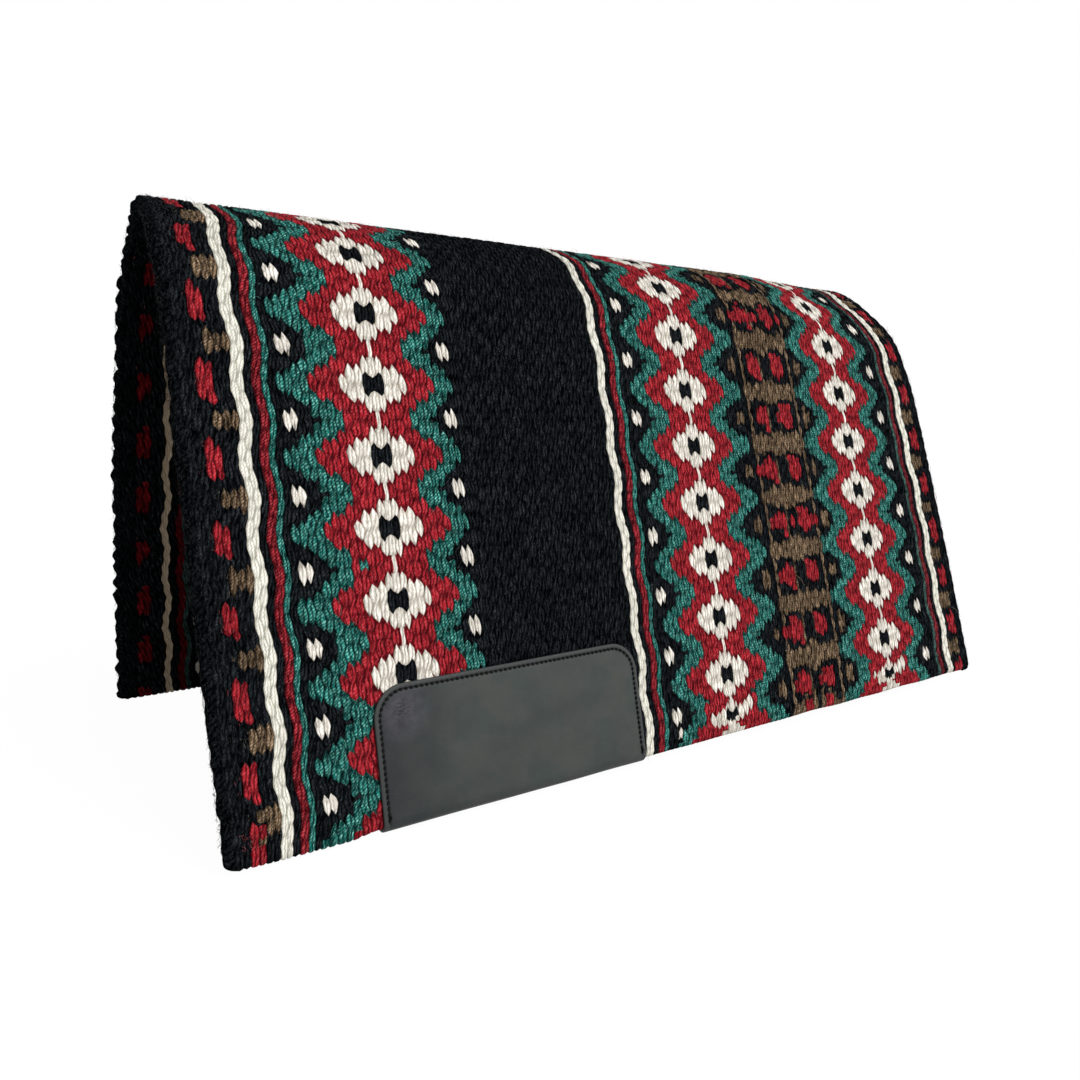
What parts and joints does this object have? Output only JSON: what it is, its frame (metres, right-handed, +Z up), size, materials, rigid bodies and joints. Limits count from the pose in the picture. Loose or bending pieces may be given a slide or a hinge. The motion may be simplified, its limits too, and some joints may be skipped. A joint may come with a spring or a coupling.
{
  "type": "saddle blanket",
  "caption": "Thick woven saddle blanket that hangs over the back, with side flaps that lift and close and leather wear patches folded and sewn round the hems.",
  "frame": {"origin": "centre of the flat facet under the crest, where the blanket rests on the back or on a rail", "axes": "+X along the spine towards the tail, +Y towards the off side, +Z up"},
  "size_m": [0.8106, 0.4209, 0.4493],
  "materials": {
    "woven_wool": "matte",
    "wear_leather": "satin",
    "seam_thread": "satin"
  },
  "bodies": {
    "spine": {"woven_spine": "woven_wool"},
    "near_flap": {"woven_near_flap": "woven_wool", "near_wear_leather": "wear_leather", "near_needle_thread": "seam_thread", "near_bobbin_thread": "seam_thread"},
    "off_flap": {"woven_off_flap": "woven_wool", "off_wear_leather": "wear_leather", "off_needle_thread": "seam_thread", "off_bobbin_thread": "seam_thread"}
  },
  "joints": [
    {"name": "near_flap_fold", "type": "hinge", "parent": "spine", "child": "near_flap", "pos_m": [0, -0.09828, -0.06005], "axis": [-1, 0, 0], "range_deg": [-22, 75]},
    {"name": "off_flap_fold", "type": "hinge", "parent": "spine", "child": "off_flap", "pos_m": [0, 0.09828, -0.06005], "axis": [1, 0, 0], "range_deg": [-22, 75]}
  ]
}
